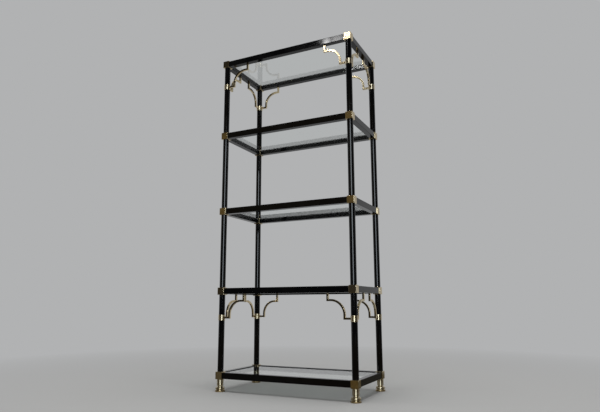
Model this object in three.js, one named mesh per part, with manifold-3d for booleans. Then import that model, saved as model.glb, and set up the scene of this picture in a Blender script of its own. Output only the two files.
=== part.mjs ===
// Etagere of five tiers: round posts, brass corner blocks, lacquered rails, glass shelves, scroll brackets.
// Millimetres, +Z up. The origin is on the floor, under the middle of the shelves. The front faces -Y.
import * as THREE from 'three';
import { mergeVertices } from 'three/addons/utils/BufferGeometryUtils.js';
import Module from 'manifold-3d';

const wasm = await Module();
wasm.setup();

// Whole object
const postSpanX = 752;
const postSpanY = 368;
const tierCount = 5;
const tierPitch = 435;
const lowestTier = 81;
const seatGap = 0.3;
const fitGap = 0.3;
const cutOverrun = 5;

// Posts, round steel tube
const postDiameter = 32;
const postWall = 1.5;

// Corner blocks, cast brass, with two spigots that enter the rails
const blockWall = 2.7;
const blockEdge = 1.2;
const blockTopWall = 3;
const spigotLength = 25;

// Rails, hollow profile with a rebate for the glass
const railHeight = 32;
const railDepth = 30;
const railWall = 2;
const railEdge = 1.5;
const lipEdge = 1;
const ledgeWidth = 4;

// Glass shelves
const glassThickness = 5;
const glassBelowLip = 3;
const glassSideGap = 1;
const glassArris = 0.6;
const glassCornerGap = 1.5;

// Feet, turned brass in one casting with the lowest block
const footSocketHeight = 70;
const footColumnDiameter = 34;
const footCoveHeight = 4;
const footWaistDiameter = 28;
const footWaistHeight = 27.5;
const footBulgeDiameter = 48;
const footBulgeHeight = 17.5;
const footBulgeRadius = 7.5;
const footGrooveDiameter = 40;
const footBaseDiameter = 51;
const footRimHeight = 8;
const footRimRounding = 3;
const footEdge = 1;

// Brackets, square-cornered brass bar brazed to a collar on the post
const collarHeight = 30;
const collarWall = 1.7;
const bracketTiers = [2, 5];
const bracketThickness = 10;
const bracketDepth = 10;
const bracketFoot = 30.5;
const bracketStep = 17.5;
const bracketRadius = 70;
const bracketDrop = 35.5;
const pinDiameter = 4;
const pinLength = 6;
const pinOverrun = 1;

// Facets
const roundSegments = 24;
const footSegments = 32;
const edgeSegments = 2;
const arcSegments = 6;
const footCurveSegments = 4;

// Worked out from the sizes above
const halfX = postSpanX / 2;
const halfY = postSpanY / 2;
const boreRadius = postDiameter / 2 + fitGap;
const blockSize = 2 * (boreRadius + blockWall);
const footHeight = lowestTier - blockSize / 2;
const ledgeTop = railHeight / 2 - glassBelowLip - glassThickness - seatGap;
const bracketUpright = boreRadius + collarWall + bracketFoot;
const bracketReach = bracketUpright + bracketRadius + bracketStep;
const shoulderBelow = railHeight / 2 + bracketDrop;
const collarBelow = shoulderBelow + bracketRadius + bracketStep;

function tierHeight(tier) {
  return lowestTier + (tier - 1) * tierPitch;
}

const topBoreEnd = tierHeight(tierCount) + blockSize / 2 - blockTopWall;

const lacquer = new THREE.MeshStandardMaterial({ color: 0x0b0b0c, roughness: 0.12, metalness: 0 });
const brass = new THREE.MeshStandardMaterial({ color: 0xb08d45, roughness: 0.25, metalness: 1 });
const glass = new THREE.MeshStandardMaterial({ color: 0xcfdcd8, roughness: 0.03, metalness: 0 });
glass.transparent = true;
glass.opacity = 0.3;

// A closed geometry as a solid that can be joined and cut
function solidOf(geometry) {
  geometry.deleteAttribute('normal');
  geometry.deleteAttribute('uv');
  const merged = mergeVertices(geometry);
  const vertProperties = new Float32Array(merged.attributes.position.array);
  const triVerts = new Uint32Array(merged.index.array);
  return new wasm.Manifold(new wasm.Mesh({ numProp: 3, vertProperties, triVerts }));
}

function geometryOf(solid) {
  const mesh = solid.getMesh();
  const geometry = new THREE.BufferGeometry();
  geometry.setAttribute('position', new THREE.BufferAttribute(mesh.vertProperties, 3));
  geometry.setIndex(new THREE.BufferAttribute(mesh.triVerts, 1));
  geometry.computeVertexNormals();
  return geometry;
}

// Turned round Z, from an outline of radius and height
function turned(outline, segments) {
  return new THREE.LatheGeometry(outline, segments).rotateX(Math.PI / 2);
}

function rod(radius, bottom, top) {
  const geometry = new THREE.CylinderGeometry(radius, radius, top - bottom, roundSegments);
  return geometry.rotateX(Math.PI / 2).translate(0, 0, (top + bottom) / 2);
}

// A box given by its lowest and highest corners
function boxBetween(low, high) {
  const size = high.clone().sub(low);
  const middle = high.clone().add(low).multiplyScalar(1 / 2);
  return new THREE.BoxGeometry(size.x, size.y, size.z).translate(middle.x, middle.y, middle.z);
}

// Set at a corner, a side or the middle, and turned to face into the shelf
function placed(name, geometry, material, place) {
  const mesh = new THREE.Mesh(geometry, material);
  mesh.name = name;
  mesh.position.set(place.x, place.y, 0);
  mesh.rotation.z = place.turn;
  return mesh;
}

function postGeometry() {
  const outer = postDiameter / 2;
  const inner = outer - postWall;
  const bottom = footSocketHeight + seatGap;
  const top = topBoreEnd - seatGap;
  const outline = [
    new THREE.Vector2(inner, bottom),
    new THREE.Vector2(outer, bottom),
    new THREE.Vector2(outer, top),
    new THREE.Vector2(inner, top),
    new THREE.Vector2(inner, bottom),
  ];
  return turned(outline, roundSegments);
}

// The part of the block that enters a rail, reaching towards +X
function spigotSolid() {
  const halfWidth = railDepth / 2 - railWall - fitGap;
  const low = new THREE.Vector3(blockSize / 2 - blockEdge, -halfWidth, -railHeight / 2 + railWall + fitGap);
  const high = new THREE.Vector3(blockSize / 2 + spigotLength, halfWidth, ledgeTop - railWall - fitGap);
  return solidOf(boxBetween(low, high));
}

// A cube with broken edges and two spigots, towards +X and +Y, centred on the rails' height
function blockSolid() {
  const half = blockSize / 2 - blockEdge;
  const face = new THREE.Shape();
  face.moveTo(half, -half + blockEdge);
  face.lineTo(half, half - blockEdge);
  face.lineTo(half - blockEdge, half);
  face.lineTo(-half + blockEdge, half);
  face.lineTo(-half, half - blockEdge);
  face.lineTo(-half, -half + blockEdge);
  face.lineTo(-half + blockEdge, -half);
  face.lineTo(half - blockEdge, -half);
  face.closePath();
  const cube = new THREE.ExtrudeGeometry(face, {
    depth: blockSize - 2 * blockEdge,
    bevelThickness: blockEdge,
    bevelSize: blockEdge,
    bevelSegments: 1,
  }).translate(0, 0, -half);
  const spigot = spigotSolid();
  const turnedSpigot = spigot.rotate([0, 0, 90]);
  return solidOf(cube).add(spigot).add(turnedSpigot);
}

// Bored right through, or from below up to the top wall on the highest tier
function cornerBlockGeometry(tier) {
  const half = blockSize / 2;
  const boreTop = tier === tierCount ? half - blockTopWall : half + cutOverrun;
  const bore = solidOf(rod(boreRadius, -half - cutOverrun, boreTop));
  return geometryOf(blockSolid().subtract(bore));
}

// Column, cove, waist, bulge, groove and base disc, with the lowest block as its head
function footGeometry() {
  const base = footBaseDiameter / 2;
  const groove = footGrooveDiameter / 2;
  const waist = footWaistDiameter / 2;
  const column = footColumnDiameter / 2;
  const coveTop = footWaistHeight + footCoveHeight;
  const outline = new THREE.Path();
  outline.moveTo(0, 0);
  outline.lineTo(base - footEdge, 0);
  outline.lineTo(base, footEdge);
  outline.lineTo(base, footRimHeight - footRimRounding);
  outline.quadraticCurveTo(base, footRimHeight, base - footRimRounding, footRimHeight);
  outline.lineTo(groove, footRimHeight);
  // The bulge is an arc that ends at the groove's radius, below and above
  const bulgeCentre = footBulgeDiameter / 2 - footBulgeRadius;
  const bulgeReach = Math.acos((groove - bulgeCentre) / footBulgeRadius);
  const bulgeTop = footBulgeHeight + footBulgeRadius * Math.sin(bulgeReach);
  outline.absarc(bulgeCentre, footBulgeHeight, footBulgeRadius, -bulgeReach, bulgeReach, false);
  outline.quadraticCurveTo(waist, bulgeTop, waist, footWaistHeight);
  outline.quadraticCurveTo(waist, coveTop, column, coveTop);
  outline.lineTo(column, footHeight + blockEdge);
  outline.lineTo(0, footHeight + blockEdge);
  const turning = solidOf(turned(outline.getPoints(footCurveSegments), footSegments));
  const socket = solidOf(rod(boreRadius, footSocketHeight, lowestTier + blockSize / 2 + cutOverrun));
  return geometryOf(turning.add(blockSolid().translate([0, 0, lowestTier])).subtract(socket));
}

// Across is the profile's inward direction, with the ledge and the lip on its inner side
function railProfile() {
  const across = railDepth / 2;
  const up = railHeight / 2;
  const lip = across - ledgeWidth;
  const outline = new THREE.Shape();
  outline.moveTo(-across + railEdge, -up);
  outline.lineTo(across - railEdge, -up);
  outline.absarc(across - railEdge, -up + railEdge, railEdge, -Math.PI / 2, 0, false);
  outline.lineTo(across, ledgeTop);
  outline.lineTo(lip, ledgeTop);
  outline.lineTo(lip, up - lipEdge);
  outline.lineTo(lip - lipEdge, up);
  outline.lineTo(-across + railEdge, up);
  outline.absarc(-across + railEdge, up - railEdge, railEdge, Math.PI / 2, Math.PI, false);
  outline.absarc(-across + railEdge, -up + railEdge, railEdge, Math.PI, Math.PI * 3 / 2, false);
  const hollow = new THREE.Path();
  hollow.moveTo(-across + railWall, -up + railWall);
  hollow.lineTo(-across + railWall, up - railWall);
  hollow.lineTo(lip - railWall, up - railWall);
  hollow.lineTo(lip - railWall, ledgeTop - railWall);
  hollow.lineTo(across - railWall, ledgeTop - railWall);
  hollow.lineTo(across - railWall, -up + railWall);
  hollow.closePath();
  outline.holes.push(hollow);
  return outline;
}

// Runs along X between two blocks, with its inner side towards +Y
function railGeometry(span, drilled) {
  const length = span - blockSize - 2 * seatGap;
  const extruded = new THREE.ExtrudeGeometry(railProfile(), {
    depth: length,
    bevelEnabled: false,
    curveSegments: edgeSegments,
  });
  extruded.translate(0, 0, -length / 2);
  const toRail = new THREE.Matrix4().makeBasis(
    new THREE.Vector3(0, 1, 0),
    new THREE.Vector3(0, 0, 1),
    new THREE.Vector3(1, 0, 0),
  );
  let rail = solidOf(extruded.applyMatrix4(toRail));
  if (drilled) {
    const underside = -railHeight / 2;
    const holeTop = underside + railWall + pinOverrun;
    const hole = solidOf(rod(pinDiameter / 2 + fitGap, underside - cutOverrun, holeTop));
    for (const side of [-1, 1]) {
      rail = rail.subtract(hole.translate([side * (span / 2 - bracketReach), 0, 0]));
    }
  }
  return geometryOf(rail);
}

// A pane that rests on the four ledges, its corners clipped to pass the blocks
function glassGeometry() {
  const inset = railDepth / 2 - ledgeWidth + glassSideGap + glassArris;
  const x = halfX - inset;
  const y = halfY - inset;
  const clip = blockSize - 2 * inset + (glassCornerGap + glassArris) * Math.SQRT2;
  const pane = new THREE.Shape();
  pane.moveTo(-x + clip, -y);
  pane.lineTo(x - clip, -y);
  pane.lineTo(x, -y + clip);
  pane.lineTo(x, y - clip);
  pane.lineTo(x - clip, y);
  pane.lineTo(-x + clip, y);
  pane.lineTo(-x, y - clip);
  pane.lineTo(-x, -y + clip);
  pane.closePath();
  return new THREE.ExtrudeGeometry(pane, {
    depth: glassThickness - 2 * glassArris,
    bevelThickness: glassArris,
    bevelSize: glassArris,
    bevelSegments: 1,
  }).translate(0, 0, glassArris);
}

// One scroll in the XZ plane: out of the collar, up, round an arc, out again and up to the rail
function scrollSolid() {
  const half = bracketThickness / 2;
  const foot = -collarBelow;
  const centreX = bracketUpright + bracketRadius;
  const centreZ = -shoulderBelow - bracketRadius;
  const top = -railHeight / 2 - seatGap;
  const outline = new THREE.Shape();
  outline.moveTo(0, foot + half);
  outline.lineTo(bracketUpright - half, foot + half);
  outline.absarc(centreX, centreZ, bracketRadius + half, Math.PI, Math.PI / 2, true);
  outline.lineTo(bracketReach - half, -shoulderBelow + half);
  outline.lineTo(bracketReach - half, top);
  outline.lineTo(bracketReach + half, top);
  outline.lineTo(bracketReach + half, -shoulderBelow - half);
  outline.absarc(centreX, centreZ, bracketRadius - half, Math.PI / 2, Math.PI, false);
  outline.lineTo(bracketUpright + half, foot - half);
  outline.lineTo(0, foot - half);
  outline.closePath();
  const bar = new THREE.ExtrudeGeometry(outline, {
    depth: bracketDepth,
    bevelEnabled: false,
    curveSegments: arcSegments,
  }).translate(0, 0, -bracketDepth / 2).rotateX(Math.PI / 2);
  const pin = rod(pinDiameter / 2, top - bracketThickness, -railHeight / 2 + pinLength);
  return solidOf(bar).add(solidOf(pin.translate(bracketReach, 0, 0)));
}

// A collar with a scroll towards +X and one towards +Y, measured from its tier's height
function bracketGeometry() {
  const scroll = scrollSolid();
  const bottom = -collarBelow - collarHeight / 2;
  const top = -collarBelow + collarHeight / 2;
  const collar = solidOf(rod(boreRadius + collarWall, bottom, top));
  const bore = solidOf(rod(boreRadius, bottom - cutOverrun, top + cutOverrun));
  return geometryOf(collar.add(scroll).add(scroll.rotate([0, 0, 90])).subtract(bore));
}

// The four corners, each turned so that +X and +Y of its pieces point into the shelf
const corners = [
  { name: 'front_left', x: -halfX, y: -halfY, turn: 0 },
  { name: 'front_right', x: halfX, y: -halfY, turn: Math.PI / 2 },
  { name: 'back_right', x: halfX, y: halfY, turn: Math.PI },
  { name: 'back_left', x: -halfX, y: halfY, turn: -Math.PI / 2 },
];

// The four sides of a tier, each turned so that +Y of its rail points into the shelf
const sides = [
  { name: 'front', x: 0, y: -halfY, turn: 0, span: postSpanX },
  { name: 'right', x: halfX, y: 0, turn: Math.PI / 2, span: postSpanY },
  { name: 'back', x: 0, y: halfY, turn: Math.PI, span: postSpanX },
  { name: 'left', x: -halfX, y: 0, turn: -Math.PI / 2, span: postSpanY },
];

const middle = { x: 0, y: 0, turn: 0 };

const etagere = new THREE.Group();
etagere.name = 'etagere';

for (const corner of corners) {
  etagere.add(placed(`post_${corner.name}`, postGeometry(), lacquer, corner));
  etagere.add(placed(`foot_${corner.name}`, footGeometry(), brass, corner));
}

for (let tier = 1; tier <= tierCount; tier += 1) {
  const height = tierHeight(tier);
  const withBrackets = bracketTiers.includes(tier);
  const group = new THREE.Group();
  group.position.z = height;
  for (const corner of corners) {
    if (tier > 1) {
      group.add(placed(`tier_${tier}_block_${corner.name}`, cornerBlockGeometry(tier), brass, corner));
    }
    if (withBrackets) {
      group.add(placed(`tier_${tier}_bracket_${corner.name}`, bracketGeometry(), brass, corner));
    }
  }
  for (const side of sides) {
    group.add(placed(`tier_${tier}_rail_${side.name}`, railGeometry(side.span, withBrackets), lacquer, side));
  }
  const pane = placed(`tier_${tier}_glass`, glassGeometry(), glass, middle);
  pane.position.z = ledgeTop + seatGap;
  group.add(pane);
  etagere.add(group);
}

export default etagere;
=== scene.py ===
import math

import bmesh
import bpy
from mathutils import Matrix, Vector


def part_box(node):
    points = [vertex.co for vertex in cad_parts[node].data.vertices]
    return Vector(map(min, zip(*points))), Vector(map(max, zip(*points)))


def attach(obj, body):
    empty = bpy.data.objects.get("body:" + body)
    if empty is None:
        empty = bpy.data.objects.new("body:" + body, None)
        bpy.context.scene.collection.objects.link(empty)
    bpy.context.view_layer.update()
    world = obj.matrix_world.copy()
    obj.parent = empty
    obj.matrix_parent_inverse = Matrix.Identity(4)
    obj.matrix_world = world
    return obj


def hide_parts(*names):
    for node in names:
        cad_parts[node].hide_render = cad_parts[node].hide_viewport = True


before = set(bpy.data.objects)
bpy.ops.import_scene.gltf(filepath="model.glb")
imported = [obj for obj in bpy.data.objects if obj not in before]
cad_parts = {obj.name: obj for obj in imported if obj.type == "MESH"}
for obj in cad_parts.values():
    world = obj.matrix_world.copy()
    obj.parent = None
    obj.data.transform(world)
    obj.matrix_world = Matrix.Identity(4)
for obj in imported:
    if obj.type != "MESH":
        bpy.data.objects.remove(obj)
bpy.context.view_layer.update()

# Black lacquer and brass etagere with glass shelves. Metres, +Z up, the front faces -Y.
# Each frame node gets a finer mesh of the same size, and the finishes are made from nodes.

cornerTurns = {"front_left": 0, "front_right": 90, "back_right": 180, "back_left": -90}
sideTurns = {"front": 0, "right": 90, "back": 180, "left": -90}
tierNumbers = range(1, 6)  # from the lowest up


def boxCentre(node):
    low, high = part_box(node)
    return (low + high) / 2


def boxSize(node):
    low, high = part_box(node)
    return high - low


# sizes that several pieces share, read from the frame
postRadius = boxSize("post_front_left").x / 2
postAxis = {corner: boxCentre("post_" + corner).xy for corner in cornerTurns}
blockSide = boxSize("tier_2_block_front_left").z
spigotReach = boxSize("tier_2_block_front_left").x - blockSide / 2
railHeight = boxSize("tier_1_rail_front").z
railDepth = boxSize("tier_1_rail_front").y
glassThickness = boxSize("tier_1_glass").z
fits = {"bore": 0.0003, "spigot": 0.0003, "seat": 0.0003}  # gaps between pieces
boreRadius = postRadius + fits["bore"]
print("frame loaded, posts", round(postRadius * 2000), "mm")


# nodes for the finishes

nodeGrid = {"left": -1400, "top": 400, "wide": 220, "high": 260}
noiseRoughness = 0.55
noiseSpan = (0.3, 0.7)  # most of a noise's values lie between these
pieceShift = (3.1, 1.7, 2.3)


def newTree(name):
    material = bpy.data.materials.new(name)
    material.use_nodes = True
    tree = material.node_tree
    return material, tree, tree.nodes["Principled BSDF"]


def addNode(tree, kind, column, row, **settings):
    made = tree.nodes.new(kind)
    across = nodeGrid["left"] + column * nodeGrid["wide"]
    made.location = (across, nodeGrid["top"] - row * nodeGrid["high"])
    for name, value in settings.items():
        setattr(made, name, value)
    return made


def surfaceVector(tree, stretch=(1, 1, 1)):
    # object coordinates, shifted a little differently on every piece
    coords = addNode(tree, "ShaderNodeTexCoord", 0, 0)
    info = addNode(tree, "ShaderNodeObjectInfo", 0, 1)
    shift = addNode(tree, "ShaderNodeVectorMath", 1, 1, operation="SCALE")
    shift.inputs[0].default_value = pieceShift
    tree.links.new(info.outputs["Random"], shift.inputs["Scale"])
    mapping = addNode(tree, "ShaderNodeMapping", 1, 0)
    mapping.inputs["Scale"].default_value = stretch
    tree.links.new(coords.outputs["Object"], mapping.inputs["Vector"])
    tree.links.new(shift.outputs["Vector"], mapping.inputs["Location"])
    return mapping.outputs["Vector"]


def noise(tree, vector, row, scale, detail):
    made = addNode(tree, "ShaderNodeTexNoise", 2, row)
    made.inputs["Scale"].default_value = scale
    made.inputs["Detail"].default_value = detail
    made.inputs["Roughness"].default_value = noiseRoughness
    tree.links.new(vector, made.inputs["Vector"])
    return made.outputs["Fac"]


def toRange(tree, value, row, target, source=noiseSpan):
    # the values of the source's span, spread over the target's
    made = addNode(tree, "ShaderNodeMapRange", 3, row)
    made.inputs["From Min"].default_value, made.inputs["From Max"].default_value = source
    made.inputs["To Min"].default_value, made.inputs["To Max"].default_value = target
    tree.links.new(value, made.inputs["Value"])
    return made.outputs["Result"]


def mixColours(tree, factor, row, first, second):
    made = addNode(tree, "ShaderNodeMix", 4, row, data_type="RGBA")
    tree.links.new(factor, made.inputs["Factor"])
    for socket, colour in (("A", first), ("B", second)):
        slot = [s for s in made.inputs if s.name == socket and s.type == "RGBA"][0]
        if isinstance(colour, tuple):
            slot.default_value = (*colour, 1)
        else:
            tree.links.new(colour, slot)
    return [s for s in made.outputs if s.type == "RGBA"][0]


def edgeMask(tree, row, span, most):
    # rises on outer edges, where hands rub the finish
    geometry = addNode(tree, "ShaderNodeNewGeometry", 2, row)
    return toRange(tree, geometry.outputs["Pointiness"], row, (0, most), span)


def addBump(tree, shader, height, row, strength, distance, before=None):
    made = addNode(tree, "ShaderNodeBump", 5, row)
    made.inputs["Strength"].default_value = strength
    made.inputs["Distance"].default_value = distance
    tree.links.new(height, made.inputs["Height"])
    if before is not None:
        tree.links.new(before, made.inputs["Normal"])
    tree.links.new(made.outputs["Normal"], shader.inputs["Normal"])
    return made.outputs["Normal"]


# finishes

lacquerLook = {
    "colour": (0.0012, 0.0012, 0.0014),
    "dulled": (0.003, 0.0028, 0.0028),
    "gloss": (0.07, 0.11),
    "ior": 1.5,
    "shine": 0.28,
    "peelSize": 150,
    "peelStrength": 0.008,
    "peelDepth": 0.0004,
    "handledSize": 9,
    "handledSpan": (0.45, 0.75),
    "detail": 2,
}


def makeLacquer():
    material, tree, shader = newTree("gloss black lacquer")
    vector = surfaceVector(tree)
    handled = noise(tree, vector, 0, lacquerLook["handledSize"], lacquerLook["detail"])
    peel = noise(tree, vector, 1, lacquerLook["peelSize"], lacquerLook["detail"])
    dulling = toRange(tree, handled, 0, (0, 1), lacquerLook["handledSpan"])
    tint = mixColours(tree, dulling, 0, lacquerLook["colour"], lacquerLook["dulled"])
    tree.links.new(tint, shader.inputs["Base Color"])
    tree.links.new(toRange(tree, handled, 1, lacquerLook["gloss"]), shader.inputs["Roughness"])
    addBump(tree, shader, peel, 0, lacquerLook["peelStrength"], lacquerLook["peelDepth"])
    shader.inputs["IOR"].default_value = lacquerLook["ior"]
    shader.inputs["Specular IOR Level"].default_value = lacquerLook["shine"]
    return material


brassLook = {
    "aged": (0.53, 0.415, 0.235),
    "stainAndShadeColour": (0.27, 0.185, 0.08),
    "mostStain": 0.45,
    "patinaSize": 30, "patinaDetail": 2, "patinaSpan": (0.42, 0.72),
    "stainSize": 170, "stainDetail": 3, "stainSpan": (0.64, 0.8),
    "edgeRub": 0.8, "edgeSpan": (0.51, 0.57),
    "lineDetail": 3, "lineDepth": 0.0003,
    "pitStrength": 0.015, "pitDepth": 0.0004,
}

# lines: how close the marks lie along x, y and z
# spread: draws the highlight out upwards, as fine turning marks round a post do
# paintedShadeShare: the least share of the stain's colour; on the disc by the floor it darkens the
# brass as painted shade
brassTone = (0.72, 0.605, 0.4)
brassFinishes = {
    "cast brass, brushed level": {
        "bright": brassTone, "gloss": (0.13, 0.19),
        "lines": (30, 30, 900), "lineStrength": 0.04, "spread": 0, "paintedShadeShare": 0,
    },
    "turned brass": {
        "bright": (0.74, 0.655, 0.475), "gloss": (0.34, 0.39),
        "lines": (12, 12, 1400), "lineStrength": 0.05, "spread": 0.97, "paintedShadeShare": 0,
    },
    # painted shade: the disc by the floor is darkened evenly towards the stain's colour
    "brass disc darkened as painted shade": {
        "bright": brassTone, "gloss": (0.32, 0.4),
        "lines": (12, 12, 1400), "lineStrength": 0.05, "spread": 0, "paintedShadeShare": 0.8,
    },
    "drawn brass bar": {
        "bright": brassTone, "gloss": (0.09, 0.13),
        "lines": (90, 90, 90), "lineStrength": 0.02, "spread": 0, "paintedShadeShare": 0,
    },
}


def makeBrass(name):
    plan = brassFinishes[name]
    paintedShadeShare = plan["paintedShadeShare"]
    material, tree, shader = newTree(name)
    vector = surfaceVector(tree)
    lines = noise(tree, surfaceVector(tree, plan["lines"]), 2, 1, brassLook["lineDetail"])
    patina = noise(tree, vector, 0, brassLook["patinaSize"], brassLook["patinaDetail"])
    spots = noise(tree, vector, 1, brassLook["stainSize"], brassLook["stainDetail"])
    aging = toRange(tree, patina, 0, (0, 1), brassLook["patinaSpan"])
    aged = mixColours(tree, aging, 0, plan["bright"], brassLook["aged"])
    # real stains in spots, and on the disc a painted shade that covers it evenly in the stain's colour
    stainAndShadeShares = (paintedShadeShare, max(brassLook["mostStain"], paintedShadeShare))
    stainAndShadeMask = toRange(tree, spots, 1, stainAndShadeShares, brassLook["stainSpan"])
    stainedAndShaded = mixColours(tree, stainAndShadeMask, 1, aged, brassLook["stainAndShadeColour"])
    rubbing = edgeMask(tree, 3, brassLook["edgeSpan"], brassLook["edgeRub"] * (1 - paintedShadeShare))
    rubbed = mixColours(tree, rubbing, 2, stainedAndShaded, plan["bright"])
    tree.links.new(rubbed, shader.inputs["Base Color"])
    tree.links.new(toRange(tree, patina, 2, plan["gloss"]), shader.inputs["Roughness"])
    shader.inputs["Metallic"].default_value = 1
    shader.inputs["Anisotropic"].default_value = plan["spread"]
    if plan["spread"]:
        upward = addNode(tree, "ShaderNodeCombineXYZ", 5, 3)
        upward.inputs["Z"].default_value = 1
        tree.links.new(upward.outputs["Vector"], shader.inputs["Tangent"])
    fine = addBump(tree, shader, lines, 0, plan["lineStrength"], brassLook["lineDepth"])
    addBump(tree, shader, spots, 1, brassLook["pitStrength"], brassLook["pitDepth"], fine)
    return material


glassLook = {
    "colour": (0.985, 0.995, 0.99), "ior": 1.5, "tint": (0.55, 0.93, 0.8), "density": 5.0,
    "smearSize": 6, "smearDetail": 5, "smearSpan": (0.45, 0.8), "smearRoughness": 0.035,
}


def makeGlass():
    material, tree, shader = newTree("clear float glass")
    vector = surfaceVector(tree)
    smears = noise(tree, vector, 0, glassLook["smearSize"], glassLook["smearDetail"])
    dulled = toRange(tree, smears, 0, (0, glassLook["smearRoughness"]), glassLook["smearSpan"])
    shader.inputs["Base Color"].default_value = (*glassLook["colour"], 1)
    shader.inputs["Transmission Weight"].default_value = 1
    shader.inputs["IOR"].default_value = glassLook["ior"]
    tree.links.new(dulled, shader.inputs["Roughness"])
    # shadow rays pass, so that light reaches what stands under the shelves
    clear = addNode(tree, "ShaderNodeBsdfTransparent", 6, 1)
    clear.inputs["Color"].default_value = (*glassLook["colour"], 1)
    path = addNode(tree, "ShaderNodeLightPath", 6, 0)
    choose = addNode(tree, "ShaderNodeMixShader", 7, 0)
    tree.links.new(path.outputs["Is Shadow Ray"], choose.inputs["Fac"])
    tree.links.new(shader.outputs["BSDF"], choose.inputs[1])
    tree.links.new(clear.outputs["BSDF"], choose.inputs[2])
    out = tree.nodes["Material Output"]
    tree.links.new(choose.outputs["Shader"], out.inputs["Surface"])
    absorb = addNode(tree, "ShaderNodeVolumeAbsorption", 7, 2)
    absorb.inputs["Color"].default_value = (*glassLook["tint"], 1)
    absorb.inputs["Density"].default_value = glassLook["density"]
    tree.links.new(absorb.outputs["Volume"], out.inputs["Volume"])
    return material


lacquer = makeLacquer()
castBrass = makeBrass("cast brass, brushed level")
turnedBrass = makeBrass("turned brass")
shadeDarkenedDiscBrass = makeBrass("brass disc darkened as painted shade")
barBrass = makeBrass("drawn brass bar")
clearGlass = makeGlass()
print("finishes made")


# mesh helpers

meshRules = {"weld": 1e-6, "sliver": 1e-7, "sharpAngle": 32, "flatWeight": 80, "roundBevel": 0.5}


def stackRings(bm, rings, closed=False):
    # rings of the same count, joined by quads
    made = [[bm.verts.new(point) for point in ring] for ring in rings]
    pairs = list(zip(made, made[1:]))
    if closed:
        pairs.append((made[-1], made[0]))
    for lower, upper in pairs:
        count = len(lower)
        for i in range(count):
            j = (i + 1) % count
            bm.faces.new((lower[i], lower[j], upper[j], upper[i]))
    return made


def capRing(bm, ring, height, upward):
    # a fan to the axis
    centre = bm.verts.new((0, 0, height))
    count = len(ring)
    for i in range(count):
        j = (i + 1) % count
        corners = (ring[i], ring[j], centre) if upward else (ring[j], ring[i], centre)
        bm.faces.new(corners)


def meshFrom(bm, name):
    bmesh.ops.remove_doubles(bm, verts=bm.verts, dist=meshRules["weld"])
    bmesh.ops.dissolve_degenerate(bm, edges=bm.edges, dist=meshRules["sliver"])
    bmesh.ops.recalc_face_normals(bm, faces=bm.faces)
    mesh = bpy.data.meshes.new(name)
    bm.to_mesh(mesh)
    bm.free()
    smoothMesh(mesh)
    return mesh


def smoothMesh(mesh):
    mesh.shade_smooth()
    mesh.set_sharp_from_angle(angle=math.radians(meshRules["sharpAngle"]))


def booleanMesh(mesh, others, operation, name):
    # joins or cuts with each of the other meshes, and returns a new mesh
    body = bpy.data.objects.new("work body", mesh)
    bpy.context.scene.collection.objects.link(body)
    tools = []
    for other in others:
        tool = bpy.data.objects.new("work tool", other)
        bpy.context.scene.collection.objects.link(tool)
        step = body.modifiers.new("step", "BOOLEAN")
        step.operation = operation
        step.solver = "EXACT"
        step.object = tool
        tools.append(tool)
    evaluated = body.evaluated_get(bpy.context.evaluated_depsgraph_get())
    result = bpy.data.meshes.new_from_object(evaluated)
    result.name = name
    for thing in [body, *tools]:
        bpy.data.objects.remove(thing)
    smoothMesh(result)
    return result


def turnedMesh(mesh, degrees):
    copy = mesh.copy()
    copy.transform(Matrix.Rotation(math.radians(degrees), 4, "Z"))
    return copy


def arcPoints(centre, radius, start, end, steps):
    # start and end in degrees
    points = []
    for i in range(steps + 1):
        angle = math.radians(start + (end - start) * i / steps)
        points.append((centre[0] + radius * math.cos(angle), centre[1] + radius * math.sin(angle)))
    return points


def roundedOutline(corners, steps):
    # corners as (across, up, radius), counterclockwise or clockwise
    points = []
    count = len(corners)
    for i, (x, y, radius) in enumerate(corners):
        here = Vector((x, y))
        before = (Vector(corners[i - 1][:2]) - here).normalized()
        after = (Vector(corners[(i + 1) % count][:2]) - here).normalized()
        if radius == 0:
            points.append(here)
            continue
        half = before.angle(after) / 2
        middle = here + (before + after).normalized() * (radius / math.sin(half))
        first = here + before * (radius / math.tan(half)) - middle
        last = here + after * (radius / math.tan(half)) - middle
        sweep = first.angle_signed(last)
        for k in range(steps + 1):
            points.append(middle + Matrix.Rotation(-sweep * k / steps, 2) @ first)
    return points


def paint(mesh, passes, index):
    # faces whose centre passes the test take the material of that index
    for face in mesh.polygons:
        if passes(face.center):
            face.material_index = index


def place(name, mesh, materials, body, replaced, location=(0, 0, 0), degrees=0):
    piece = bpy.data.objects.new(name, mesh)
    bpy.context.scene.collection.objects.link(piece)
    piece.location = location
    piece.rotation_euler.z = math.radians(degrees)
    if not mesh.materials:
        for material in materials:
            mesh.materials.append(material)
    weighted = piece.modifiers.new("flat faces stay flat", "WEIGHTED_NORMAL")
    weighted.keep_sharp = True
    weighted.weight = meshRules["flatWeight"]
    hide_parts(replaced)
    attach(piece, body)


# posts

post = {"wall": 0.0015, "edge": 0.0005, "segments": 96}


def postMesh():
    low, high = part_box("post_front_left")
    inner = postRadius - post["wall"]
    edge = post["edge"]
    outline = [
        (inner, low.z), (postRadius - edge, low.z), (postRadius, low.z + edge),
        (postRadius, high.z - edge), (postRadius - edge, high.z), (inner, high.z),
    ]
    bm = bmesh.new()
    rings = []
    for radius, height in outline:
        circle = arcPoints((0, 0), radius, 0, 360, post["segments"])[:-1]
        rings.append([(x, y, height) for x, y in circle])
    stackRings(bm, rings, closed=True)
    return meshFrom(bm, "post tube")


tube = postMesh()
for corner, axis in postAxis.items():
    node = "post_" + corner
    here = (axis.x, axis.y, 0)
    place(node + "_tube", tube, [lacquer], "frame", node, here)
print("posts made")


# corner blocks and feet

block = {
    "edge": 0.0012, "boreEdge": 0.0004, "topWall": 0.003, "edgeSteps": 5, "sideSteps": 16,
    "spigotEdge": 0.0015, "spigotSteps": 2,
}

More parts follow.
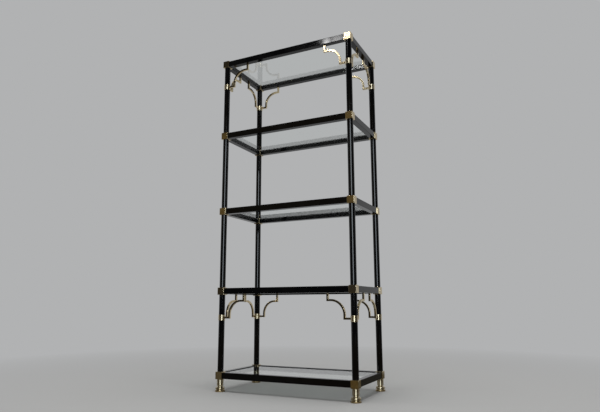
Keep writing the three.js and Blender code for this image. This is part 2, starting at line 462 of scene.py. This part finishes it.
foot = {
    "socketFloor": 0.07,
    "column": 0.017, "columnTop": 0.0592, "neck": 0.016, "neckLow": 0.0603,
    "coveTop": 0.0315, "waist": 0.014, "waistHeight": 0.0275,
    "bulge": 0.024, "bulgeHeight": 0.0175, "bulgeRound": 0.0075, "groove": 0.020,
    "rim": 0.0255, "rimTop": 0.008, "rimRound": 0.003, "rimEdge": 0.001,
    "curveSteps": 8, "bulgeSteps": 24, "edgeSteps": 4,
}


def squareRing(flat, radius, height):
    # a square with side flats of twice flat and corners of that radius
    steps = block["sideSteps"]
    side = [Vector((flat + radius, flat * (2 * i / steps - 1))) for i in range(steps)]
    corner = [Vector(p) for p in arcPoints((flat, flat), radius, 0, 90, block["edgeSteps"])]
    points = []
    for quarter in range(4):
        turn = Matrix.Rotation(math.radians(90 * quarter), 2)
        points += [turn @ p for p in side + corner[:-1]]
    return [(p.x, p.y, height) for p in points]


def circleRing(radius, height):
    # a circle whose points face those of the square ring
    guide = squareRing(blockSide / 2 - block["edge"], block["edge"], 0)
    angles = [math.atan2(y, x) for x, y, z in guide]
    return [(radius * math.cos(a), radius * math.sin(a), height) for a in angles]


def cubeRings(low, high):
    edge = block["edge"]
    flat = blockSide / 2 - edge
    rings = []
    for centre, start, end in ((low + edge, -90, 0), (high - edge, 0, 90)):
        for i in range(block["edgeSteps"] + 1):
            angle = math.radians(start + (end - start) * i / block["edgeSteps"])
            rings.append(squareRing(flat, edge * math.cos(angle), centre + edge * math.sin(angle)))
    return rings


def boreDown(high, low):
    # the bore's rings from its upper mouth down
    edge = block["boreEdge"]
    mouth = [circleRing(boreRadius + edge, high), circleRing(boreRadius, high - edge)]
    return mouth + [circleRing(boreRadius, low)]


def spigotMesh():
    # the tongue inside the rail, towards +X, below the ledge of the glass
    halfWidth = railDepth / 2 - rail["wall"] - fits["spigot"]
    low = -railHeight / 2 + rail["wall"] + fits["spigot"]
    high = ledgeTop - rail["wall"] - fits["spigot"]
    bm = bmesh.new()
    start = blockSide / 2 - block["edge"]
    middle = (low + high) / 2
    halfHeight = (high - low) / 2
    matrix = Matrix.Translation(((start + spigotReach) / 2, 0, middle))
    matrix = matrix @ Matrix.Diagonal((spigotReach - start, halfWidth * 2, halfHeight * 2, 1))
    bmesh.ops.create_cube(bm, size=1, matrix=matrix)
    far = [e for e in bm.edges if all(v.co.x > spigotReach - block["edge"] / 2 for v in e.verts)]
    bmesh.ops.bevel(
        bm, geom=far, offset=block["spigotEdge"], segments=block["spigotSteps"],
        profile=meshRules["roundBevel"], affect="EDGES",
    )
    return meshFrom(bm, "spigot")


def blockMesh(closedTop):
    half = blockSide / 2
    edge = block["boreEdge"]
    mouth = circleRing(boreRadius + edge, -half)
    bm = bmesh.new()
    if closedTop:
        inside = half - block["topWall"]
        bore = [circleRing(boreRadius, inside), circleRing(boreRadius, -half + edge), mouth]
        made = stackRings(bm, bore + cubeRings(-half, half))
        capRing(bm, made[0], inside, False)
        capRing(bm, made[-1], half, True)
    else:
        bore = boreDown(half, -half + edge) + [mouth]
        stackRings(bm, cubeRings(-half, half) + bore, closed=True)
    return meshFrom(bm, "corner block")


def bend(start, corner, end):
    # a quadratic curve, without its first point
    points = []
    for i in range(1, foot["curveSteps"] + 1):
        t = i / foot["curveSteps"]
        points.append(start * (1 - t) ** 2 + corner * 2 * t * (1 - t) + end * t * t)
    return points


def footOutline():
    # radius and height, from the floor up to the block
    rim = foot["rim"]
    edge = foot["rimEdge"]
    rounding = foot["rimRound"]
    steps = foot["edgeSteps"]
    outline = arcPoints((rim - edge, edge), edge, -90, 0, steps)
    outline += arcPoints((rim - rounding, foot["rimTop"] - rounding), rounding, 0, 90, steps * 2)
    outline.append((foot["groove"], foot["rimTop"]))
    core = foot["bulge"] - foot["bulgeRound"]
    reach = math.degrees(math.acos((foot["groove"] - core) / foot["bulgeRound"]))
    bulge = (core, foot["bulgeHeight"])
    outline += arcPoints(bulge, foot["bulgeRound"], -reach, reach, foot["bulgeSteps"])
    outline = [Vector(point) for point in outline]
    waist = Vector((foot["waist"], foot["waistHeight"]))
    outline += bend(outline[-1], Vector((foot["waist"], outline[-1].y)), waist)
    cove = Vector((foot["waist"], foot["coveTop"]))
    outline += bend(waist, cove, Vector((foot["column"], foot["coveTop"])))
    outline.append(Vector((foot["column"], foot["columnTop"])))
    outline.append(Vector((foot["neck"], foot["neckLow"])))
    return outline


def footMesh():
    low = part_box("foot_front_left")[0].z
    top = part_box("foot_front_left")[1].z
    head = top - blockSide
    bm = bmesh.new()
    rings = [circleRing(p.x, low + p.y) for p in footOutline()]
    rings.append(circleRing(foot["neck"], head))
    made = stackRings(bm, rings + cubeRings(head, top) + boreDown(top, foot["socketFloor"]))
    capRing(bm, made[0], low, False)
    capRing(bm, made[-1], foot["socketFloor"], True)
    return meshFrom(bm, "turned foot")


# rails

rail = {
    "wall": 0.002, "edge": 0.0015, "ledge": 0.004, "lipEdge": 0.0008, "belowLip": 0.003,
    "edgeSteps": 6,
}
ledgeTop = railHeight / 2 - rail["belowLip"] - glassThickness - fits["seat"]


def railMesh(length, holes):
    # runs along X, its inner side towards +Y
    across = railDepth / 2
    up = railHeight / 2
    lip = across - rail["ledge"]
    wall = rail["wall"]
    outline = roundedOutline([
        (-across, -up, rail["edge"]), (across, -up, rail["edge"]), (across, ledgeTop, rail["lipEdge"]),
        (lip, ledgeTop, 0), (lip, up, rail["lipEdge"]), (-across, up, rail["edge"]),
    ], rail["edgeSteps"])
    hollow = [Vector(point) for point in (
        (-across + wall, -up + wall), (across - wall, -up + wall), (across - wall, ledgeTop - wall),
        (lip - wall, ledgeTop - wall), (lip - wall, up - wall), (-across + wall, up - wall),
    )]
    bm = bmesh.new()
    ends = {-1: [], 1: []}
    for outlinePoints in (outline, hollow):
        rings = [[(side * length / 2, p.x, p.y) for p in outlinePoints] for side in (-1, 1)]
        made = stackRings(bm, rings)
        for side, ring in zip((-1, 1), made):
            ends[side] += [bm.edges.get((ring[i - 1], ring[i])) for i in range(len(ring))]
    for edges in ends.values():
        bmesh.ops.triangle_fill(bm, edges=edges, use_beauty=True, use_dissolve=False)
    mesh = meshFrom(bm, "rail")
    if not holes:
        return mesh
    middle = -up + wall / 2
    cutters = [roundMesh("pin hole", bracket["hole"], x, middle, wall * 2) for x in holes]
    return booleanMesh(mesh, cutters, "DIFFERENCE", "drilled rail")


# brackets

bracket = {
    "thickness": 0.010, "depth": 0.010, "edge": 0.0005,
    "radius": 0.07, "step": 0.0175, "drop": 0.0355,
    "collarHeight": 0.03, "collarEdge": 0.0009, "pin": 0.002, "hole": 0.0023,
    "arcSteps": 28, "edgeSteps": 4, "segments": 96, "pinSegments": 32, "sharpestMitre": 0.2,
}


def roundMesh(name, radius, x, height, length):
    # an upright cylinder, for a bracket's pin and the hole that it enters
    bm = bmesh.new()
    bmesh.ops.create_cone(
        bm, cap_ends=True, segments=bracket["pinSegments"], radius1=radius, radius2=radius,
        depth=length, matrix=Matrix.Translation((x, 0, height)),
    )
    return meshFrom(bm, name)


def barMesh(path, name):
    # a bar with rounded edges along a path in the XZ plane, mitred at its corners
    halfIn = bracket["thickness"] / 2
    halfAcross = bracket["depth"] / 2
    edge = bracket["edge"]
    section = roundedOutline([
        (-halfIn, -halfAcross, edge), (halfIn, -halfAcross, edge),
        (halfIn, halfAcross, edge), (-halfIn, halfAcross, edge),
    ], bracket["edgeSteps"])
    bm = bmesh.new()
    rings = []
    for i, point in enumerate(path):
        ahead = path[min(i + 1, len(path) - 1)] - point
        behind = point - path[max(i - 1, 0)]
        ahead = ahead.normalized() if ahead.length else behind.normalized()
        behind = behind.normalized() if behind.length else ahead
        along = (ahead + behind).normalized()
        normal = Vector((-along.y, along.x))
        mitre = max(normal.dot(Vector((-ahead.y, ahead.x))), bracket["sharpestMitre"])
        side = normal * (1 / mitre)
        rings.append([(point.x + side.x * p.x, p.y, point.y + side.y * p.x) for p in section])
    made = stackRings(bm, rings)
    bm.faces.new(reversed(made[0]))
    bm.faces.new(made[-1])
    return meshFrom(bm, name)


def bracketSizes():
    # measured from the post axis and the tier's height
    low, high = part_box("tier_2_bracket_front_left")
    axis = postAxis["front_left"]
    collarRadius = axis.x - low.x
    reach = high.x - axis.x - bracket["thickness"] / 2
    shoulder = -railHeight / 2 - bracket["drop"]
    return {
        "collar": collarRadius,
        "reach": reach,
        "upright": reach - bracket["step"] - bracket["radius"],
        "shoulder": shoulder,
        "foot": shoulder - bracket["radius"] - bracket["step"],
        "pinTop": high.z - tierHeight(2),
    }


def tierHeight(tier):
    return boxCentre(f"tier_{tier}_rail_front").z


def bracketMesh():
    size = bracketSizes()
    arcMiddle = (size["upright"] + bracket["radius"], size["shoulder"] - bracket["radius"])
    start = (boreRadius + size["collar"]) / 2
    top = -railHeight / 2 - fits["seat"]
    path = [Vector((start, size["foot"])), Vector((size["upright"], size["foot"]))]
    path += [Vector(p) for p in arcPoints(arcMiddle, bracket["radius"], 180, 90, bracket["arcSteps"])]
    path += [Vector((size["reach"], size["shoulder"])), Vector((size["reach"], top))]
    scroll = barMesh(path, "scroll")
    pinLow = top - bracket["thickness"]
    pinMiddle = (size["pinTop"] + pinLow) / 2
    pinLength = size["pinTop"] - pinLow
    pin = roundMesh("bracket pin", bracket["pin"], size["reach"], pinMiddle, pinLength)
    half = bracket["collarHeight"] / 2
    edge = bracket["collarEdge"]
    steps = bracket["edgeSteps"]
    outer = size["collar"]
    outline = [(boreRadius, -half)]
    outline += arcPoints((outer - edge, -half + edge), edge, -90, 0, steps)
    outline += arcPoints((outer - edge, half - edge), edge, 0, 90, steps)
    outline.append((boreRadius, half))
    bm = bmesh.new()
    rings = []
    for radius, height in outline:
        circle = arcPoints((0, 0), radius, 0, 360, bracket["segments"])[:-1]
        rings.append([(x, y, size["foot"] + height) for x, y in circle])
    stackRings(bm, rings, closed=True)
    collar = meshFrom(bm, "collar")
    others = [scroll, turnedMesh(scroll, 90), pin, turnedMesh(pin, 90)]
    return booleanMesh(collar, others, "UNION", "bracket set")


spigot = spigotMesh()
spigots = [spigot, turnedMesh(spigot, 90)]
openBlock = booleanMesh(blockMesh(False), spigots, "UNION", "corner block")
topBlock = booleanMesh(blockMesh(True), spigots, "UNION", "top corner block")
footSpigots = []
for mesh in spigots:
    lifted = mesh.copy()
    lifted.transform(Matrix.Translation((0, 0, tierHeight(1))))
    footSpigots.append(lifted)
footWhole = booleanMesh(footMesh(), footSpigots, "UNION", "turned foot")
bracketWhole = bracketMesh()
footBrasses = [turnedBrass, castBrass, shadeDarkenedDiscBrass]
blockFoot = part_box("foot_front_left")[1].z - blockSide
paint(footWhole, lambda centre: centre.z > blockFoot, footBrasses.index(castBrass))
# the disc by the floor takes the brass darkened as painted shade
paint(footWhole, lambda centre: centre.z < foot["rimTop"], footBrasses.index(shadeDarkenedDiscBrass))
bracketBrasses = [barBrass, turnedBrass]
collarReach = bracketSizes()["collar"] + bracket["collarEdge"]
paint(bracketWhole, lambda centre: centre.xy.length < collarReach, bracketBrasses.index(turnedBrass))
for corner, axis in postAxis.items():
    node = "foot_" + corner
    turn = cornerTurns[corner]
    here = (axis.x, axis.y, 0)
    place(node + "_turning", footWhole, footBrasses, "frame", node, here, turn)
    for tier in tierNumbers:
        here = (axis.x, axis.y, tierHeight(tier))
        node = f"tier_{tier}_block_{corner}"
        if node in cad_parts:
            mesh = topBlock if tier == tierNumbers[-1] else openBlock
            place(node + "_cube", mesh, [castBrass], "frame", node, here, turn)
        node = f"tier_{tier}_bracket_{corner}"
        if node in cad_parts:
            place(node + "_scrolls", bracketWhole, bracketBrasses, "frame", node, here, turn)
print("blocks, feet and brackets made")

railMeshes = {}
for tier in tierNumbers:
    drilled = f"tier_{tier}_bracket_front_left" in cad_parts
    for side, turn in sideTurns.items():
        node = f"tier_{tier}_rail_{side}"
        size = boxSize(node)
        length = max(size.x, size.y)
        span = length + blockSide + 2 * fits["seat"]
        key = (round(length, 4), drilled)
        if key not in railMeshes:
            reach = bracketSizes()["reach"]
            holes = [reach - span / 2, span / 2 - reach] if drilled else []
            railMeshes[key] = railMesh(length, holes)
        mesh = railMeshes[key]
        here = boxCentre(node)
        place(node + "_profile", mesh, [lacquer], "frame", node, here, turn)
print("rails made")


# glass shelves

pane = {
    "arris": 0.0007, "cornerGap": 0.0015, "cornerRound": 0.003,
    "arrisSteps": 3, "cornerSteps": 4,
}


def paneMesh():
    size = boxSize("tier_1_glass")
    x = size.x / 2
    y = size.y / 2
    innerCorner = Vector(postAxis["back_right"]) - Vector((blockSide / 2, blockSide / 2))
    clip = x + y - (innerCorner.x + innerCorner.y - pane["cornerGap"] * math.sqrt(2))
    rounding = pane["cornerRound"]
    outline = []
    for quarter, (sx, sy) in enumerate(((1, 1), (-1, 1), (-1, -1), (1, -1))):
        ends = [(sx * x, sy * (y - clip), rounding), (sx * (x - clip), sy * y, rounding)]
        outline += ends if quarter % 2 == 0 else list(reversed(ends))
    points = roundedOutline(outline, pane["cornerSteps"])
    bm = bmesh.new()
    base = bm.faces.new([bm.verts.new((p.x, p.y, 0)) for p in points])
    raised = bmesh.ops.extrude_face_region(bm, geom=[base])
    upper = [v for v in raised["geom"] if isinstance(v, bmesh.types.BMVert)]
    bmesh.ops.translate(bm, verts=upper, vec=(0, 0, size.z))
    bmesh.ops.recalc_face_normals(bm, faces=bm.faces)
    rims = [e for e in bm.edges if abs(e.verts[0].co.z - e.verts[1].co.z) < meshRules["sliver"]]
    bmesh.ops.bevel(
        bm, geom=rims, offset=pane["arris"], segments=pane["arrisSteps"],
        profile=meshRules["roundBevel"], affect="EDGES",
    )
    return meshFrom(bm, "glass pane")


glassMesh = paneMesh()
for tier in tierNumbers:
    node = f"tier_{tier}_glass"
    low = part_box(node)[0].z
    place(node + "_pane", glassMesh, [clearGlass], f"glass_{tier}", node, (0, 0, low))
print("glass made")


# floor, light and camera

stage = {
    "floor": (0.42, 0.42, 0.415), "background": (0.44, 0.445, 0.45), "ambient": 0.52,
    "fadeFrom": 1.0, "fadeTo": 3.2, "radius": 30, "segments": 96,
}


def makeFloor():
    # a floor that fades into the background with the distance
    material, tree, shader = newTree("pale floor")
    coords = addNode(tree, "ShaderNodeTexCoord", 0, 0)
    flat = addNode(tree, "ShaderNodeVectorMath", 1, 0, operation="MULTIPLY")
    flat.inputs[1].default_value = (1, 1, 0)
    tree.links.new(coords.outputs["Object"], flat.inputs[0])
    away = addNode(tree, "ShaderNodeVectorMath", 2, 0, operation="LENGTH")
    tree.links.new(flat.outputs["Vector"], away.inputs[0])
    fade = toRange(tree, away.outputs["Value"], 0, (0, 1), (stage["fadeFrom"], stage["fadeTo"]))
    shader.inputs["Base Color"].default_value = (*stage["floor"], 1)
    shader.inputs["Roughness"].default_value = 1
    shader.inputs["Specular IOR Level"].default_value = 0
    glow = addNode(tree, "ShaderNodeEmission", 4, 1)
    glow.inputs["Color"].default_value = (*stage["background"], 1)
    choose = addNode(tree, "ShaderNodeMixShader", 5, 0)
    tree.links.new(fade, choose.inputs["Fac"])
    tree.links.new(shader.outputs["BSDF"], choose.inputs[1])
    tree.links.new(glow.outputs["Emission"], choose.inputs[2])
    tree.links.new(choose.outputs["Shader"], tree.nodes["Material Output"].inputs["Surface"])
    bm = bmesh.new()
    bmesh.ops.create_circle(bm, cap_ends=True, radius=stage["radius"], segments=stage["segments"])
    mesh = bpy.data.meshes.new("floor")
    bm.to_mesh(mesh)
    bm.free()
    mesh.materials.append(material)
    floor = bpy.data.objects.new("floor", mesh)
    bpy.context.scene.collection.objects.link(floor)


unlit = (0.026, 0.024, 0.021)
cards = {
    "dark card in front": {
        "size": (20, 5), "at": (-0.6, -4.6, 2.48), "tilt": 90, "turn": 8,
        "colour": unlit,
    },
    # painted reflection: a warm glowing band that the brass shows on its front faces
    "warm band in front": {
        "size": (12, 1.9), "at": (-0.6, -4.56, 2.5), "tilt": 90, "turn": 8,
        "colour": (0.115, 0.09, 0.043),
    },
    "dark card on the right": {
        "size": (6.6, 5), "at": (5.2, -1.3, 2.48), "tilt": 90, "turn": 90,
        "colour": unlit,
    },
    "dark card overhead in front": {
        "size": (20, 4.1), "at": (-0.6, -2.55, 4.98), "tilt": 0, "turn": 8,
        "colour": unlit,
    },
    "dark card lying in front": {
        "size": (10, 3.8), "at": (1.074, -2.19, 0.004), "tilt": 0, "turn": 26.1,
        "colour": (0.09, 0.068, 0.03),
    },
    # painted shade: the shaded floor under the shelves, as gloss shows it
    "grey card under the shelves": {
        "size": (10, 1.1), "at": (0, 0.01, 0.004), "tilt": 0, "turn": 26.1,
        "colour": (0.085, 0.078, 0.06),
    },
}


def makeCards():
    # glowing cards that only gloss sees: painted reflections of the unlit side of a room and its
    # floor, with a warm band among them
    for name, plan in cards.items():
        material, tree, shader = newTree(name)
        glow = addNode(tree, "ShaderNodeEmission", 4, 1)
        glow.inputs["Color"].default_value = (*plan["colour"], 1)
        tree.links.new(glow.outputs["Emission"], tree.nodes["Material Output"].inputs["Surface"])
        matrix = Matrix.Translation(plan["at"]) @ Matrix.Rotation(math.radians(plan["turn"]), 4, "Z")
        matrix = matrix @ Matrix.Rotation(math.radians(plan["tilt"]), 4, "X")
        matrix = matrix @ Matrix.Diagonal((*plan["size"], 1, 1))
        # a square of one metre, that the matrix brings to the card's size
        bm = bmesh.new()
        bmesh.ops.create_grid(bm, x_segments=1, y_segments=1, size=0.5, matrix=matrix)
        mesh = bpy.data.meshes.new(name)
        bm.to_mesh(mesh)
        bm.free()
        mesh.materials.append(material)
        card = bpy.data.objects.new(name, mesh)
        bpy.context.scene.collection.objects.link(card)
        card.visible_camera = False
        card.visible_diffuse = False
        card.visible_shadow = False
        card.visible_transmission = False


def makeWorld():
    # the camera, gloss and glass see the background; the rest gets plain white light
    world = bpy.data.worlds.new("studio")
    bpy.context.scene.world = world
    world.use_nodes = True
    tree = world.node_tree
    seen = tree.nodes["Background"]
    seen.inputs["Color"].default_value = (*stage["background"], 1)
    lighting = addNode(tree, "ShaderNodeBackground", 3, 1)
    lighting.inputs["Color"].default_value = (1, 1, 1, 1)
    lighting.inputs["Strength"].default_value = stage["ambient"]
    path = addNode(tree, "ShaderNodeLightPath", 2, 0)
    cameraOrGloss = addNode(tree, "ShaderNodeMath", 3, 0, operation="MAXIMUM")
    seeing = addNode(tree, "ShaderNodeMath", 4, 0, operation="MAXIMUM")
    tree.links.new(path.outputs["Is Camera Ray"], cameraOrGloss.inputs[0])
    tree.links.new(path.outputs["Is Glossy Ray"], cameraOrGloss.inputs[1])
    tree.links.new(cameraOrGloss.outputs["Value"], seeing.inputs[0])
    tree.links.new(path.outputs["Is Transmission Ray"], seeing.inputs[1])
    choose = addNode(tree, "ShaderNodeMixShader", 5, 0)
    tree.links.new(seeing.outputs["Value"], choose.inputs["Fac"])
    tree.links.new(lighting.outputs["Background"], choose.inputs[1])
    tree.links.new(seen.outputs["Background"], choose.inputs[2])
    tree.links.new(choose.outputs["Shader"], tree.nodes["World Output"].inputs["Surface"])


white = (1, 1, 1)
daylight = (0.86, 0.94, 1)
lampPlan = {
    "tall window behind the camera": {
        "at": (1.58, -3.23, 1.56), "aim": (0, 0, 1), "size": (1.7, 1.9), "power": 84,
        "colour": daylight, "inGloss": True, "lightsFloor": False, "lightsGlass": False,
    },
    "high window on the left": {
        "at": (-0.62, -2.98, 3.5), "aim": (0.37, -0.18, 1.8), "size": (0.6, 0.55), "power": 2.6,
        "colour": white, "inGloss": True, "lightsFloor": False, "lightsGlass": False,
    },
    "left light of the far window": {
        "at": (-0.922, -3, 3.43), "aim": (0.26, -0.2, 1.82), "size": (0.07, 0.06), "power": 0.6,
        "colour": white, "inGloss": True, "lightsFloor": False, "lightsGlass": True,
    },
    "right light of the far window": {
        "at": (-0.782, -3, 3.43), "aim": (0.32, -0.2, 1.82), "size": (0.1, 0.06), "power": 0.6,
        "colour": white, "inGloss": True, "lightsFloor": False, "lightsGlass": True,
    },
    "soft box overhead": {
        "at": (0.3, -0.4, 3.9), "aim": (0, 0, 0), "size": (2.4, 2.4), "power": 90,
        "colour": white, "inGloss": False, "lightsFloor": True, "lightsGlass": False,
    },
}


def sparedBy(name, plan):
    # what a lamp leaves alone: panes that would show it as glare, and for a window the floor
    spared = bpy.data.collections.new("left alone by " + name)
    if not plan["lightsGlass"]:
        for tier in tierNumbers:
            spared.objects.link(bpy.data.objects[f"tier_{tier}_glass_pane"])
    if not plan["lightsFloor"]:
        spared.objects.link(bpy.data.objects["floor"])
    for entry in spared.collection_objects:
        entry.light_linking.link_state = "EXCLUDE"
    return spared


def makeLamps():
    for name, plan in lampPlan.items():
        lamp = bpy.data.lights.new(name, "AREA")
        lamp.shape = "RECTANGLE"
        lamp.size, lamp.size_y = plan["size"]
        lamp.energy = plan["power"]
        lamp.color = plan["colour"]
        lampObject = bpy.data.objects.new(name, lamp)
        lampObject.location = plan["at"]
        lampObject.visible_glossy = plan["inGloss"]
        lampObject.light_linking.receiver_collection = sparedBy(name, plan)
        way = Vector(plan["aim"]) - Vector(plan["at"])
        lampObject.rotation_euler = way.to_track_quat("-Z", "Y").to_euler()
        bpy.context.scene.collection.objects.link(lampObject)


view = {
    "at": (1.2628, -2.5748, 0.4398), "yaw": 26.1, "pitch": 10.72, "roll": -0.155,
    "lens": 31.486, "sensor": 36,
}


def makeCamera():
    lens = bpy.data.cameras.new("camera")
    lens.lens = view["lens"]
    lens.sensor_width = view["sensor"]
    lens.sensor_fit = "HORIZONTAL"
    camera = bpy.data.objects.new("camera", lens)
    camera.location = view["at"]
    aim = Matrix.Rotation(math.radians(view["yaw"]), 3, "Z")
    aim = aim @ Matrix.Rotation(math.radians(90 + view["pitch"]), 3, "X")
    aim = aim @ Matrix.Rotation(math.radians(view["roll"]), 3, "Z")
    camera.rotation_euler = aim.to_euler()
    bpy.context.scene.collection.objects.link(camera)
    bpy.context.scene.camera = camera


makeFloor()
makeCards()
makeWorld()
makeLamps()
makeCamera()
bpy.context.scene.view_settings.view_transform = "Standard"
print("stage made")
